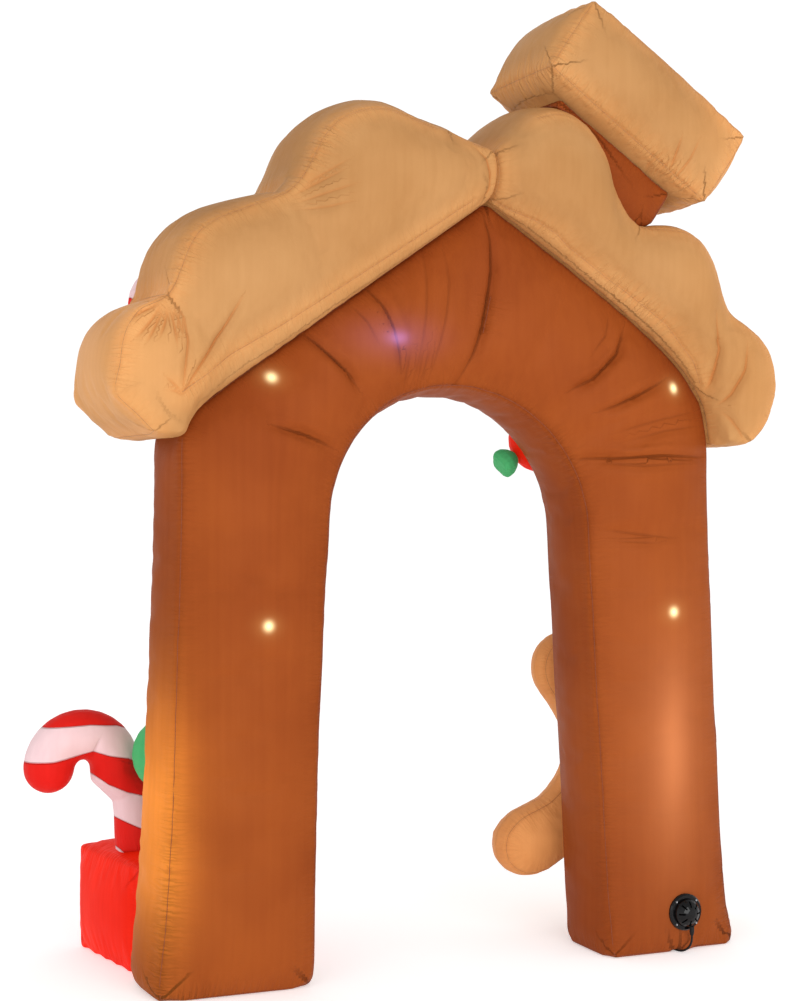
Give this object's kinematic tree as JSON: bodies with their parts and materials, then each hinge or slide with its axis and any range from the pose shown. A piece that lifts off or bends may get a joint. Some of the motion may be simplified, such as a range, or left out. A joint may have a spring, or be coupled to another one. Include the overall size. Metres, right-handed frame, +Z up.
{
  "type": "inflatable arch",
  "caption": "Walk-through inflatable garden arch shaped as a gingerbread house, with a scalloped icing roof, leaning chimney, candy cane, gift box, sweets and biscuit figure, blown up by its own fan",
  "frame": {"origin": "on the ground, in the middle of the outer box of everything but the lead and its plug", "axes": "+Z up; +X to the right as seen from the plain back; +Y towards the decorated front, away from the pictured side"},
  "size_m": [2.0964, 0.914, 2.6707],
  "materials": {
    "brown_cloth": "satin nylon taffeta, brown",
    "icing_cloth": "satin nylon taffeta, pale caramel",
    "red_cloth": "satin nylon taffeta, red",
    "green_cloth": "satin nylon taffeta, green",
    "mint_cloth": "satin nylon taffeta, white with red swirls",
    "biscuit_cloth": "satin nylon taffeta, tan",
    "black_plastic": "glossy moulded plastic",
    "lead_rubber": "smooth rubber sheath",
    "plug_metal": "plated blades"
  },
  "bodies": {
    "root": {"arch_body": "brown_cloth", "chimney_stack": "brown_cloth", "roof_left": "icing_cloth", "roof_right": "icing_cloth", "chimney_cap": "icing_cloth", "gift_box": "red_cloth", "candy_cane": "red_cloth", "wrapped_sweet": "red_cloth", "sweet_twist_lower": "green_cloth", "sweet_twist_upper": "green_cloth", "gumdrop": "green_cloth", "peppermint": "mint_cloth", "biscuit_figure": "biscuit_cloth", "blower_flange": "black_plastic", "blower_dome": "black_plastic", "lead_gland": "black_plastic", "lead_plug": "black_plastic", "lead_run": "lead_rubber", "lead_coil": "lead_rubber", "plug_blade_1": "plug_metal", "plug_blade_2": "plug_metal"}
  },
  "joints": []
}
